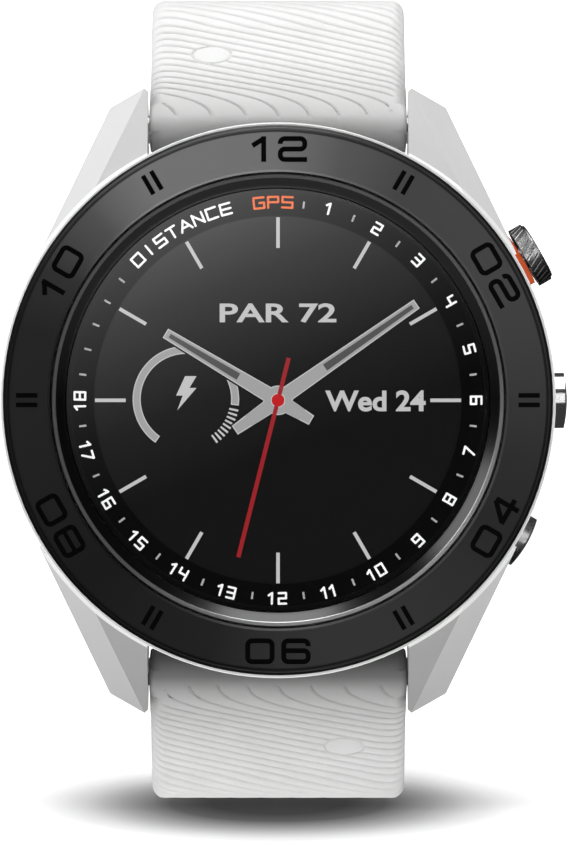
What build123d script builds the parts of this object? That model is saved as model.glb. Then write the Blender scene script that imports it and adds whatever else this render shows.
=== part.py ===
from build123d import *
import os
from math import cos, radians, sin

# Golf GPS watch, millimetres, standing on the flat bottom run of its opened strap.
# Pieces are drawn on a bench frame: +X to 3 o'clock, +Y to 12 o'clock, +Z out of the dial, z = 0 on the
# case back.  stand_up() then turns the watch so that the dial faces -Y and 12 o'clock is up, with the
# origin at the centre of the strap's flat bottom face.

# ---- case ----
CASE_RADIUS = 23.5
CASE_HEIGHT = 11.2
CASE_BACK = 1.3            # top of the back cover's flange, where the middle case starts
POCKET_RADIUS = 20.8       # case wall between the lugs
POCKET_TOP = 7.6           # underside of the rim that overhangs the strap ends
CAVITY_RADIUS = 19.2
DIAL_CAVITY_RADIUS = 18.75
LEDGE_LOW = 6.6
LEDGE_HIGH = 7.1
LEDGE_RADIUS = 16.8
BEZEL_SEAT = 9.2
RIM_TOP = 9.6
BEZEL_RADIUS = 23.2
BEZEL_BORE = 19.25
INNER_RING_BORE = 17.95
LENS_RADIUS = 17.85
DISPLAY_RADIUS = 15.9
HOLE_RING_BORE = 15.55
COVER_RADIUS = 20.9
BOSS_REACH = 17.9
BOSS_ANGLES = (45, 135, 225, 315)
MARK_DEPTH = 0.12
MARK_STROKE = 0.42
MARK_REACH = 21.15         # middle of the bezel numbers
DIGIT_HALF_WIDTH = 1.03    # to the middle of the stroke
DIGIT_HALF_HEIGHT = 0.88
DIGIT_CORNER = 0.38
# ---- buttons, on axes that run out of the case centre ----
BUTTON_HEIGHT = 4.8
BUTTON_TRAVEL = 0.5
BUTTON_ANGLES = {"start_button": 30, "middle_button": 0, "lower_button": -30}
STEM_RADIUS = 0.95
STEM_NECK = 0.65
STEM_END = 18.1
BUSH_BORE = 1.0
BUSH_RADIUS = 1.5
BUSH_INNER = 18.9
BUSH_OUTER = 21.6
CLIP_LOW = 18.45
CLIP_HIGH = 18.75
SEAL_LOW = 20.2
SEAL_HIGH = 20.7
START_CAP = {"radius": 2.7, "low": 24.25, "high": 25.4, "top": 25.65}
MIDDLE_CAP = {"radius": 2.365, "low": 22.45, "high": 24.4, "top": 24.67}
LOWER_CAP = {"radius": 2.25, "low": 22.45, "high": 24.25, "top": 24.52}
CAPS = {"start_button": START_CAP, "middle_button": MIDDLE_CAP, "lower_button": LOWER_CAP}
KNURL_COUNT = 30
KNURL_RADIUS = 0.13
KNURL_TILT = 30
COLLAR_RADIUS = 2.25
COLLAR_TOP = 24.05
SKIRT_BORE = 2.38          # the start button's cap drops over its collar
SKIRT_DEPTH = 0.5
# ---- lugs and strap bars ----
LUG_INNER = 11.1
LUG_TIP = (11.4, 26.7)
LUG_CORNER = (14.4, 25.1)
LUG_SHOULDER = (20.2, 12.4)
LUG_BOTTOM = 0.9
BAR_REACH = 23.2
BAR_HEIGHT = 3.6
BAR_RADIUS = 1.2
BAR_HALF_LENGTH = 13.0     # the bar's ends stop inside the lugs
# ---- strap ----
STRAP_THICK = 3.0
STRAP_HALF_WIDTH = 10.95
STRAP_END_HALF_WIDTH = 10.65
STRAP_TAIL_HALF_WIDTH = 10.0
BARREL_RADIUS = 2.05
STRAP_SLOPE = 35           # degrees behind the case plane as the strap leaves its bar
LEG = 10.1                 # straight run from the bar
BEND_RADIUS = 4.0
BEND_TURN = 90 - STRAP_SLOPE
FOOT_LENGTH = 32.0
BEND_RUN = (BEND_RADIUS * radians(BEND_TURN), BEND_TURN)
LONG_RUNS = ((LEG, 0), BEND_RUN, (FOOT_LENGTH, 0), (71.0, 81.4))
SHORT_RUNS = ((LEG, 0), BEND_RUN, (27.5, 35), (34.0, 0))
HOLE_COUNT = 10
HOLE_FIRST = 52.0
HOLE_PITCH = 6.0
HOLE_LENGTH = 3.0
HOLE_WIDTH = 2.0
# ---- quick-release hook and latch, in each strap end ----
HOOK_BORE = 1.25
HOOK_RADIUS = 1.75
HOOK_HALF_WIDTH = 7.0
HOOK_END = 7.0
MOUTH_HALF = 1.3
LATCH_HALF_WIDTH = 5.0
LATCH_NOSE = -1.4
LATCH_TAIL = 4.2
LATCH_TOP = -1.3
LATCH_LOW = -2.0
LATCH_TRAVEL = 2.8
POCKET_END = 7.4
# ---- buckle and keepers ----
PIN_RADIUS = 0.9
LOOP_RADIUS = 2.0
ARM_INNER = 10.4
ARM_OUTER = 12.4
BUCKLE_REACH = 11.4
BUCKLE_HALF_THICK = 1.3
TANG_HALF_WIDTH = 1.1
SLOT_HALF_WIDTH = 1.4
KEEPER_WIDTH = 6.0
KEEPER_PLACES = {"keeper_inner": -30.0, "keeper_outer": -17.5}

FLOOR_REACH = BAR_REACH + LEG * cos(radians(STRAP_SLOPE)) + BEND_RADIUS * (1 - sin(radians(STRAP_SLOPE)))
FLOOR_REACH += STRAP_THICK / 2
FOOT_START = BAR_HEIGHT - LEG * sin(radians(STRAP_SLOPE)) - BEND_RADIUS * cos(radians(STRAP_SLOPE))
FOOT_CENTRE = FOOT_START - FOOT_LENGTH / 2


def disc(radius, low, high):
    """A round plate on the case axis."""
    return Pos(0, 0, (low + high) / 2) * Cylinder(radius, high - low)


def ring(bore, radius, low, high):
    return disc(radius, low, high) - disc(bore, low, high)


def block(x, y, z):
    """A box from its (low, high) pairs."""
    size = [high - low for low, high in (x, y, z)]
    centre = [(high + low) / 2 for low, high in (x, y, z)]
    return Pos(*centre) * Box(*size)


def turned(points):
    """A solid turned about the case axis from (radius, height) points."""
    outline = Polyline(*[(radius, 0, height) for radius, height in points], close=True)
    return revolve(make_face(outline), Axis.Z)


def both_sides(shape):
    return shape + mirror(shape, Plane.YZ)


def stand_up(shape):
    return Pos(0, FOOT_CENTRE, FLOOR_REACH) * Rot(90, 0, 0) * shape


def button_frame(angle):
    """Local Z runs outward along a button's axis, starting on the case axis."""
    return Pos(0, 0, BUTTON_HEIGHT) * Rot(0, 0, angle) * Rot(0, 90, 0)


# ---- case pieces ----
def lug():
    """The lug at 1 o'clock: a prism with two falling facets that meet in a crease."""
    outline = Polyline((LUG_INNER, 16.5), (LUG_INNER, 26.4), LUG_TIP, LUG_CORNER, LUG_SHOULDER, (16, 10),
                       close=True)
    body = Pos(0, 0, LUG_BOTTOM) * extrude(make_face(outline), 9.0 - LUG_BOTTOM)
    crease_start = Vector(15.7, 17.5, 9.0)
    crease_end = Vector(*LUG_TIP, 4.8)
    inner_normal = (crease_end - crease_start).cross(Vector(-1, 0, 0))
    outer_low = Vector(*LUG_CORNER, 3.2)
    outer_normal = (crease_end - crease_start).cross(outer_low - crease_start)
    for point, normal in ((crease_start, inner_normal), (crease_start, outer_normal)):
        if normal.Z < 0:
            normal = normal * -1
        body = split(body, Plane(origin=point, z_dir=normal), keep=Keep.BOTTOM)
    belly = Plane(origin=(0, 21.0, LUG_BOTTOM), z_dir=(0, 0.5, -1))
    return split(body, belly, keep=Keep.BOTTOM)


def mid_case():
    wall = ((CAVITY_RADIUS, CASE_BACK), (21.2, CASE_BACK), (22.4, 2.6), (22.95, 4.5), (CASE_RADIUS, 7.9),
            (CASE_RADIUS, 9.45), (CASE_RADIUS - 0.1, RIM_TOP), (BEZEL_RADIUS + 0.05, RIM_TOP),
            (BEZEL_RADIUS + 0.05, BEZEL_SEAT), (DIAL_CAVITY_RADIUS, BEZEL_SEAT),
            (DIAL_CAVITY_RADIUS, LEDGE_HIGH), (LEDGE_RADIUS, LEDGE_HIGH), (LEDGE_RADIUS, LEDGE_LOW),
            (CAVITY_RADIUS, LEDGE_LOW))
    body = turned(wall)
    gap = block((-LUG_INNER, LUG_INNER), (10, 30), (0, POCKET_TOP)) - disc(POCKET_RADIUS, 0, POCKET_TOP)
    body -= gap + mirror(gap, Plane.XZ)
    one_lug = lug() - disc(CAVITY_RADIUS + 1, 0, CASE_HEIGHT) - disc(COVER_RADIUS + 0.1, 0, CASE_BACK)
    lugs = both_sides(one_lug)
    body += lugs + mirror(lugs, Plane.XZ)
    for angle in BOSS_ANGLES:
        boss = Rot(0, 0, angle) * Pos(BOSS_REACH, 0, 0)
        body += boss * disc(1.5, 2.4, LEDGE_LOW)
        body -= boss * disc(0.7, 2.0, 5.1)
    for side in (1, -1):
        bar_hole = Pos(0, side * BAR_REACH, BAR_HEIGHT) * Rot(0, 90, 0)
        body -= bar_hole * Cylinder(BAR_RADIUS, 2 * BAR_HALF_LENGTH)
    for name, angle in BUTTON_ANGLES.items():
        cap = CAPS[name]
        recess_floor = cap["low"] - BUTTON_TRAVEL - 0.1
        body -= button_frame(angle) * disc(BUSH_RADIUS, 17.0, BUSH_OUTER)
        body -= button_frame(angle) * disc(cap["radius"] + 0.15, recess_floor, 27)
    body -= button_frame(BUTTON_ANGLES["start_button"]) * disc(COLLAR_RADIUS, BUSH_OUTER, 24)
    for name in ("middle_button", "lower_button"):
        body -= button_frame(BUTTON_ANGLES[name]) * disc(BUSH_BORE + 0.2, 18, 24)
    return body


def digit(character):
    """A wide, square-shouldered number drawn as a bent stroke, centred on the origin."""
    w = DIGIT_HALF_WIDTH
    h = DIGIT_HALF_HEIGHT
    high_tail = h - 0.45
    paths = {
        "1": [[(-0.5, h - 0.6), (0.45, h)], [(0.45, h + 0.2), (0.45, -h - 0.2)]],
        "2": [[(-w, high_tail), (-w, h), (w, h), (w, 0), (-w, 0), (-w, -h), (w + 0.2, -h)]],
        "4": [[(0.35, h + 0.15), (-w, -0.35)], [(-w - 0.1, -0.35), (w + 0.15, -0.35)],
              [(0.5, h + 0.2), (0.5, -h - 0.2)]],
        "6": [[(w, high_tail), (w, h), (-w, h), (-w, -h), (w, -h), (w, 0.05), (-w + 0.5, 0.05)],
              [(-w + 0.6, 0.05), (-w + 0.1, 0.05)]],
    }
    if character in "08":
        frame = RectangleRounded(2 * w + MARK_STROKE, 2 * h + MARK_STROKE, DIGIT_CORNER + MARK_STROKE / 2)
        frame -= RectangleRounded(2 * w - MARK_STROKE, 2 * h - MARK_STROKE, DIGIT_CORNER - MARK_STROKE / 2)
        return frame + Rectangle(2 * w, MARK_STROKE * 0.85) if character == "8" else frame
    sketch = Sketch()
    for path in paths[character]:
        if len(path) > 2:
            sketch += trace(FilletPolyline(*path, radius=DIGIT_CORNER), MARK_STROKE)
        else:
            sketch += trace(Line(*path), MARK_STROKE)
    return sketch


def bezel_marks():
    """Hour numbers at the even hours and double bars at the odd ones, as flat infill pieces."""
    marks = []
    for hour in range(1, 13):
        angle = 90 - 30 * hour
        if hour % 2:
            bars = [Pos(21.16, side * 0.4) * Rectangle(1.8, 0.4) for side in (1, -1)]
            marks += [Rot(0, 0, angle) * bar for bar in bars]
            continue
        readable_below = hour in (4, 6, 8)
        turn = angle + 90 if readable_below else angle - 90
        reach = -MARK_REACH if readable_below else MARK_REACH
        places = (-1.65, 1.23) if hour > 9 else (-1.52, 1.52)
        for side, character in zip(places, f"{hour:02d}"):
            marks.append(Rot(0, 0, turn) * Pos(side, reach) * digit(character))
    return [extrude(Pos(0, 0, CASE_HEIGHT - MARK_DEPTH) * mark, MARK_DEPTH) for mark in marks]


def bezel_ring(marks):
    outline = ((BEZEL_BORE, BEZEL_SEAT), (BEZEL_BORE, 11.0), (19.45, CASE_HEIGHT), (22.74, CASE_HEIGHT),
               (22.8, 11.1), (22.88, 11.1), (22.94, 11.14), (BEZEL_RADIUS, 10.75), (BEZEL_RADIUS, BEZEL_SEAT))
    return turned(outline) - Compound(children=[solid for mark in marks for solid in mark.solids()])


def inner_ring():
    return turned(((INNER_RING_BORE, BEZEL_SEAT), (INNER_RING_BORE, 10.3), (18.75, 10.95), (19.05, 10.95),
                   (19.15, 10.85), (19.15, BEZEL_SEAT)))


def lens():
    edge = LENS_RADIUS
    return turned(((0, 9.75), (edge, 9.75), (edge, 10.3), (edge - 0.25, 10.55), (0, 10.6)))


def hole_ring():
    return turned(((HOLE_RING_BORE, 8.75), (HOLE_RING_BORE, 9.1), (17.4, 9.4), (17.8, 9.4), (17.8, 8.75)))


def gps_antenna():
    whole = ring(18.1, 18.6, 7.2, 8.5)
    return whole - block((-20, -10), (-3, 3), (7, 9))


def display_flex():
    tail = block((-4, 4), (-16.35, -16.15), (6.1, 7.1))
    return tail + block((-4, 4), (-16.15, -13), (6.1, 6.25))


def main_board():
    return disc(16.2, 5.35, 6.05) - block((11, 17), (-9, 9), (5, 7)) - block((-5, 5), (-17, -15.8), (5, 7))


def shield_cans():
    cans = [((-9, 0), (1, 10)), ((2, 9.5), (2, 9)), ((-7, 6), (-9, -1.5))]
    return [fillet(block(x, y, (6.05, 6.55)).edges().filter_by(Axis.Z), 0.5) for x, y in cans]


def battery():
    cell = block((-13, 6), (-10.5, 10.5), (2.3, 5.1))
    return fillet(cell.edges().filter_by(Axis.X), 0.9)


def back_cover():
    shell = turned(((0, 0), (19.9, 0), (20.7, 0.35), (COVER_RADIUS, CASE_BACK), (18.6, CASE_BACK),
                    (18.6, 2.1), (18.0, 2.1), (18.0, CASE_BACK), (0, CASE_BACK)))
    for angle in BOSS_ANGLES:
        hole = Rot(0, 0, angle) * Pos(BOSS_REACH, 0, 0)
        shell -= hole * disc(1.6, 1.0, 2.4)
        shell -= hole * disc(1.25, 0, 0.75) + hole * disc(0.75, 0.7, 1.4)
    return shell - block((7.0, 14.0), (-10.0, -7.0), (-0.1, 2))


def back_cover_seal():
    return ring(18.65, 19.15, 1.32, 1.95)


def back_cover_screws():
    screw = disc(1.2, 0.1, 0.75) + disc(0.68, 0.7, 4.9) - block((-0.75, 0.75), (-0.15, 0.15), (0, 0.4))
    return [Rot(0, 0, angle) * Pos(BOSS_REACH, 0, 0) * screw for angle in BOSS_ANGLES]


def contact_places():
    return [Pos(8.1 + 1.6 * step, -8.5, 0) for step in range(4)]


def contact_block():
    body = block((7.0, 14.0), (-10.0, -7.0), (0.05, 1.9))
    for place in contact_places():
        body -= place * disc(0.45, 0, 2)
    return body


def button_tubes():
    return [button_frame(angle) * ring(BUSH_BORE, BUSH_RADIUS, BUSH_INNER, BUSH_OUTER)
            for angle in BUTTON_ANGLES.values()]


def orange_collar():
    return button_frame(BUTTON_ANGLES["start_button"]) * ring(1.15, COLLAR_RADIUS, BUSH_OUTER, COLLAR_TOP)


def tactile_switches():
    switch = block((-1.0, 1.0), (-1.5, 1.5), (16.95, 17.55))
    return [button_frame(angle) * switch for angle in BUTTON_ANGLES.values()]


def button_flex():
    strip = ring(16.7, 16.9, 3.6, 6.0)
    wedge = make_face(Polyline((0, 0), (30, -23), (30, 23), close=True))
    return strip & extrude(wedge, 10)


def button(name):
    """A cap and its stem: a neck for the seal, a neck for the clip, and a slightly domed face."""
    cap = CAPS[name]
    edge = cap["radius"]
    under = [(STEM_RADIUS, cap["low"])]
    if name == "start_button":
        roof = cap["low"] + SKIRT_DEPTH
        under = [(STEM_RADIUS, roof), (SKIRT_BORE, roof), (SKIRT_BORE, cap["low"])]
    outline = Polyline((0, STEM_END), (STEM_RADIUS, STEM_END), (STEM_RADIUS, CLIP_LOW), (STEM_NECK, CLIP_LOW),
                       (STEM_NECK, CLIP_HIGH), (STEM_RADIUS, CLIP_HIGH), (STEM_RADIUS, SEAL_LOW),
                       (STEM_NECK, SEAL_LOW), (STEM_NECK, SEAL_HIGH), (STEM_RADIUS, SEAL_HIGH),
                       *under, (edge, cap["low"]), (edge, cap["high"]))
    if name == "start_button":
        face = Polyline((edge, cap["high"]), (edge - 0.22, cap["high"] + 0.1),
                        (edge - 0.22, cap["top"] - 0.08), (edge - 0.32, cap["top"]), (0, cap["top"]))
    else:
        rise = cap["top"] - cap["high"]
        dome = (edge**2 + rise**2) / (2 * rise)
        halfway = cap["top"] - dome + (dome**2 - edge**2 / 4) ** 0.5
        face = ThreePointArc((edge, cap["high"]), (edge / 2, halfway), (0, cap["top"]))
    section = make_face(outline + face + Line((0, cap["top"]), (0, STEM_END)))
    body = revolve(Plane.XZ * section, Axis.Z)
    if name == "start_button":
        groove = Rot(KNURL_TILT, 0, 0) * Cylinder(KNURL_RADIUS, cap["high"] - cap["low"] + 0.1)
        middle = (cap["low"] + cap["high"]) / 2
        for step in range(KNURL_COUNT):
            body -= Rot(0, 0, 360 / KNURL_COUNT * step) * Pos(edge + 0.04, 0, middle) * groove
    return button_frame(BUTTON_ANGLES[name]) * body


def button_seal(name):
    return button_frame(BUTTON_ANGLES[name]) * ring(STEM_NECK, 0.98, SEAL_LOW + 0.05, SEAL_HIGH - 0.05)


def button_clip(name):
    clip = ring(STEM_NECK, 1.5, CLIP_LOW, CLIP_HIGH) - block((-0.5, 0.5), (0, 2), (CLIP_LOW, CLIP_HIGH))
    return button_frame(BUTTON_ANGLES[name]) * clip


def lug_bar(side):
    return Pos(0, side * BAR_REACH, BAR_HEIGHT) * Rot(0, 90, 0) * Cylinder(BAR_RADIUS, 2 * BAR_HALF_LENGTH)


# ---- strap pieces: drawn for the 12 o'clock half, and mirrored for the other ----
def walk(runs, distance):
    """The reach, height and heading on the strap's centre line, a distance along it from the bar."""
    reach = BAR_REACH
    height = BAR_HEIGHT
    heading = STRAP_SLOPE
    for length, turn in runs:
        step = min(length, distance)
        after = heading + turn * step / length
        if turn:
            radius = length / radians(turn)
            reach += radius * (sin(radians(after)) - sin(radians(heading)))
            height += radius * (cos(radians(after)) - cos(radians(heading)))
        else:
            reach += step * cos(radians(heading))
            height -= step * sin(radians(heading))
        heading = after
        distance -= step
    return reach, height, heading


def strap_frame(runs, distance):
    """Local X runs along the strap, local Y out of its outer face, local Z to 3 o'clock."""
    reach, height, heading = walk(runs, distance)
    along = (0, cos(radians(heading)), -sin(radians(heading)))
    return Location(Plane(origin=(0, reach, height), x_dir=along, z_dir=(1, 0, 0)))


def side_line(runs, offset):
    """The strap's edge line, at an offset from the centre line towards the outer face."""
    def point(distance):
        reach, height, heading = walk(runs, distance)
        return 0, reach + offset * sin(radians(heading)), height + offset * cos(radians(heading))

    line = Curve()
    start = 0
    for length, turn in runs:
        end = start + length
        if turn:
            line += ThreePointArc(point(start), point((start + end) / 2), point(end))
        else:
            line += Line(point(start), point(end))
        start = end
    return line, point(0), point(start)


def long_block(x, y, half_width):
    """A block in a strap frame, centred across the strap."""
    return block(x, y, (-half_width, half_width))


def strap_band(runs):
    """The plain band: one side view drawn across the strap, tapered towards its free end."""
    outer, outer_start, outer_end = side_line(runs, STRAP_THICK / 2)
    inner, inner_start, inner_end = side_line(runs, -STRAP_THICK / 2)
    outline = outer + inner + Line(outer_start, inner_start) + Line(outer_end, inner_end)
    band = extrude(make_face(outline), 2 * STRAP_HALF_WIDTH, both=True)
    wide = STRAP_HALF_WIDTH
    slim = STRAP_TAIL_HALF_WIDTH
    plan = Polyline((-wide, 20), (wide, 20), (wide, -8), (slim, -28), (slim, -120), (-slim, -120),
                    (-slim, -28), (-wide, -8), close=True)
    plan_face = Plane.XZ * make_face(plan)
    return band & extrude(plan_face, 120, both=True)


def strap_end():
    """The thick end that wraps its bar, in the strap frame at the bar."""
    half = STRAP_THICK / 2
    outline = Polyline((0, BARREL_RADIUS), (5.5, half), (9.5, half), (9.5, -half), (8.9, -half),
                       (7.9, -BARREL_RADIUS), (0, -BARREL_RADIUS), close=True)
    body = Cylinder(BARREL_RADIUS, 2 * STRAP_END_HALF_WIDTH)
    return body + extrude(make_face(outline), STRAP_END_HALF_WIDTH, both=True)


def finish_strap_end(band, runs):
    """Join the thick end to a band, then cut the bar's mouth, the hook's seat and the latch pocket."""
    frame = strap_frame(runs, 0)
    narrowing = block((-3, 4.2), (-3, 3), (STRAP_END_HALF_WIDTH, 12))
    narrowing += mirror(narrowing, Plane.XY)
    band = band - frame * narrowing + frame * strap_end()
    seat = Cylinder(HOOK_RADIUS, 2 * HOOK_HALF_WIDTH)
    seat += long_block((0, HOOK_END), (-1.25, -0.3), HOOK_HALF_WIDTH)
    mouth = Cylinder(MOUTH_HALF, 24) + long_block((-MOUTH_HALF, MOUTH_HALF), (-3, 0), 12)
    pocket = long_block((-3, POCKET_END), (-3, -1.25), LATCH_HALF_WIDTH + 0.2)
    return band - frame * seat - frame * mouth - frame * pocket


def hook():
    body = Cylinder(HOOK_RADIUS, 2 * HOOK_HALF_WIDTH)
    body += long_block((0, HOOK_END), (-1.25, -0.3), HOOK_HALF_WIDTH)
    body -= Cylinder(HOOK_BORE, 24)
    body -= long_block((-HOOK_BORE, HOOK_BORE), (-3, 0), 12)
    body -= long_block((-3, POCKET_END), (-3, -1.25), LATCH_HALF_WIDTH + 0.2)
    return strap_frame(SHORT_RUNS, 0) * body


def latch():
    plate = long_block((LATCH_NOSE, LATCH_TAIL), (LATCH_LOW, LATCH_TOP), LATCH_HALF_WIDTH)
    tab = long_block((LATCH_TAIL - 1.0, LATCH_TAIL), (LATCH_LOW - 0.3, LATCH_LOW), 3.0)
    return strap_frame(SHORT_RUNS, 0) * (plate + tab)


def latch_spring():
    """A flat wave spring that pushes the latch shut."""
    waves = 8
    low = LATCH_TAIL + 0.35
    high = POCKET_END - 0.35
    points = []
    for step in range(waves + 1):
        across = -3.6 + 7.2 * step / waves
        points.append((across, low if step % 2 else high))
    wave = trace(Polyline(*points), 0.25)
    flat = Plane(origin=(0, -1.8, 0), x_dir=(0, 0, 1), z_dir=(0, 1, 0))
    spring = extrude(flat * wave, 0.15, both=True)
    return strap_frame(SHORT_RUNS, 0) * spring


def strap_lower():
    band = finish_strap_end(strap_band(LONG_RUNS), LONG_RUNS)
    for step in range(HOLE_COUNT):
        hole = fillet(Box(HOLE_LENGTH, 8, HOLE_WIDTH).edges().filter_by(Axis.Y), 0.8)
        band -= strap_frame(LONG_RUNS, HOLE_FIRST + HOLE_PITCH * step) * hole
    length = sum(run for run, turn in LONG_RUNS)
    corner = block((-7, 1), (-4, 4), (STRAP_TAIL_HALF_WIDTH - 7, 12))
    corner -= Pos(-7, 0, STRAP_TAIL_HALF_WIDTH - 7) * Rot(90, 0, 0) * Cylinder(7, 10)
    corner += mirror(corner, Plane.XY)
    return mirror(band - strap_frame(LONG_RUNS, length) * corner, Plane.XZ)


def buckle_place():
    return strap_frame(SHORT_RUNS, sum(run for run, turn in SHORT_RUNS))


def strap_upper():
    band = finish_strap_end(strap_band(SHORT_RUNS), SHORT_RUNS)
    band += buckle_place() * Cylinder(LOOP_RADIUS, 2 * STRAP_TAIL_HALF_WIDTH)
    slot = Cylinder(PIN_RADIUS + 0.05, 30) + long_block((-7, 4), (-4, 4), SLOT_HALF_WIDTH)
    return band - buckle_place() * slot


def buckle_frame():
    arm = block((-0.3, BUCKLE_REACH), (-BUCKLE_HALF_THICK, BUCKLE_HALF_THICK), (ARM_INNER, ARM_OUTER))
    arm += Pos(0, 0, (ARM_INNER + ARM_OUTER) / 2) * Cylinder(1.7, ARM_OUTER - ARM_INNER)
    bar = long_block((BUCKLE_REACH - 2.0, BUCKLE_REACH), (-BUCKLE_HALF_THICK, BUCKLE_HALF_THICK), ARM_OUTER)
    body = arm + mirror(arm, Plane.XY) + bar
    corners = body.edges().filter_by(Axis.Y).group_by(Axis.X)[-1]
    return buckle_place() * (fillet(corners, 1.6) - Cylinder(PIN_RADIUS, 30))


def buckle_pin():
    return buckle_place() * Cylinder(PIN_RADIUS, 2 * ARM_OUTER - 0.4)


def buckle_tang():
    outline = Polyline((0, 0), (2.0, 0.75), (9.0, 1.36), (11.2, 1.36), (11.2, 2.1), (9.0, 2.3), (0, 1.7),
                       close=True)
    body = Cylinder(1.7, 2 * TANG_HALF_WIDTH) + extrude(make_face(outline), 0.9, both=True)
    return buckle_place() * (body - Cylinder(PIN_RADIUS + 0.05, 30))


def keeper(place):
    """A loop round the strap with room for the long half's free end on the outside."""
    low = -STRAP_THICK / 2 - 0.3
    high = STRAP_THICK * 1.5 + 0.4
    outer = long_block((-KEEPER_WIDTH / 2, KEEPER_WIDTH / 2), (low - 1.4, high + 1.4), 11.8)
    outer = fillet(outer.edges().filter_by(Axis.X), 1.8)
    inner = long_block((-KEEPER_WIDTH, KEEPER_WIDTH), (low, high), 10.35)
    inner = fillet(inner.edges().filter_by(Axis.X), 0.25)
    return buckle_place() * Pos(place, 0, 0) * (outer - inner)


def build_nodes():
    marks = bezel_marks()
    nodes = {
        "mid_case": mid_case(),
        "bezel_ring": bezel_ring(marks),
        "bezel_numerals": marks,
        "inner_ring": inner_ring(),
        "lens": lens(),
        "lens_gasket": ring(17.45, 17.9, 9.42, 9.73),
        "hole_ring": hole_ring(),
        "display_panel": disc(DISPLAY_RADIUS, 7.75, 8.7),
        "backlight": disc(DISPLAY_RADIUS, 7.15, 7.7),
        "display_frame": ring(16.0, 17.9, 7.15, 8.7),
        "display_flex": display_flex(),
        "gps_antenna": gps_antenna(),
        "main_board": main_board(),
        "shield_cans": shield_cans(),
        "battery": battery(),
        "vibration_motor": Pos(10.6, 6.6, 0) * disc(3.5, 2.4, 5.0),
        "back_cover": back_cover(),
        "back_cover_seal": back_cover_seal(),
        "back_cover_screws": back_cover_screws(),
        "contact_block": contact_block(),
        "charging_contacts": [place * disc(0.42, 0.1, 2.3) for place in contact_places()],
        "button_tubes": button_tubes(),
        "orange_collar": orange_collar(),
        "tactile_switches": tactile_switches(),
        "button_flex": button_flex(),
        "lug_bar_upper": lug_bar(1),
        "lug_bar_lower": lug_bar(-1),
        "strap_upper": strap_upper(),
        "strap_lower": strap_lower(),
        "hook_upper": hook(),
        "hook_lower": mirror(hook(), Plane.XZ),
        "latch_upper": latch(),
        "latch_lower": mirror(latch(), Plane.XZ),
        "latch_spring_upper": latch_spring(),
        "latch_spring_lower": mirror(latch_spring(), Plane.XZ),
        "buckle_frame": buckle_frame(),
        "buckle_pin": buckle_pin(),
        "buckle_tang": buckle_tang(),
    }
    for name in BUTTON_ANGLES:
        nodes[name] = button(name)
        nodes[name + "_seal"] = button_seal(name)
        nodes[name + "_clip"] = button_clip(name)
    for name, place in KEEPER_PLACES.items():
        nodes[name] = keeper(place)
    return nodes


os.makedirs("parts", exist_ok=True)
for node, shape in build_nodes().items():
    pieces = shape if isinstance(shape, list) else [shape]
    solids = [solid for piece in pieces for solid in stand_up(piece).solids()]
    whole = solids[0] if len(solids) == 1 else Compound(children=solids)
    whole.label = node
    export_step(whole, f"parts/{node}.step")
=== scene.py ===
import math
import bmesh
import bpy
from mathutils import Matrix, Vector


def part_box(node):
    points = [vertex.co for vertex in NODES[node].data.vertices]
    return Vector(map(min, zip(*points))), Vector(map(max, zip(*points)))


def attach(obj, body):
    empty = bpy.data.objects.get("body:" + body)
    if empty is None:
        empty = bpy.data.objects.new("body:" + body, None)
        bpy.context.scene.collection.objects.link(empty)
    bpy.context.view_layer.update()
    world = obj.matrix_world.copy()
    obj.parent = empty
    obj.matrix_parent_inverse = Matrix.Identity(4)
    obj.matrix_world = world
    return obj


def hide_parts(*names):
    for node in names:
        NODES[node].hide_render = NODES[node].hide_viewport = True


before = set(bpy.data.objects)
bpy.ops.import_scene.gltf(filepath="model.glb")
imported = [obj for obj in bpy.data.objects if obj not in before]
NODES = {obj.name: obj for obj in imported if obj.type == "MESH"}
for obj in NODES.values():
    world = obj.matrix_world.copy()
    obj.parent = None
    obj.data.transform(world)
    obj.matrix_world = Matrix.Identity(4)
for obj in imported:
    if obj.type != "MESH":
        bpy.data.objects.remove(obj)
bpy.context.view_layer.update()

MM = 0.001

# ---- where the dial is: the bench frame has +X to 3 o'clock, +Y to 12 o'clock and +Z out of the dial,
# in millimetres, with its origin on the case's axis at the case back ----
CASE_HEIGHT = 11.2
BEZEL_LOW, BEZEL_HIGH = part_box("bezel_ring")
DIAL_X = (BEZEL_LOW.x + BEZEL_HIGH.x) / 2
DIAL_Z = (BEZEL_LOW.z + BEZEL_HIGH.z) / 2
FACE_Y = BEZEL_LOW.y


def bench(x, y, z):
    """A bench point, in millimetres, as a point of the row frame, in metres."""
    return Vector((DIAL_X + x * MM, FACE_Y + (CASE_HEIGHT - z) * MM, DIAL_Z + y * MM))


def turned(angle, reach):
    """The bench x and y of a point at an angle (degrees anticlockwise from 3 o'clock) and distance."""
    return reach * math.cos(math.radians(angle)), reach * math.sin(math.radians(angle))


def smooth(low, high, value):
    t = min(1.0, max(0.0, (value - low) / (high - low)))
    return t * t * (3 - 2 * t)


# ---------------- materials
def linear(grey):
    """An 8-bit display grey as scene-linear light."""
    value = grey / 255
    return value / 12.92 if value <= 0.04045 else ((value + 0.055) / 1.055) ** 2.4


DIAL = (DIAL_X, FACE_Y, DIAL_Z)
ON_DIAL = (1, 0, 1)                  # the axes kept for a distance measured across the dial
LENS_COVER = 0.10                    # how much of what lies under it the lens hides


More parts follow.
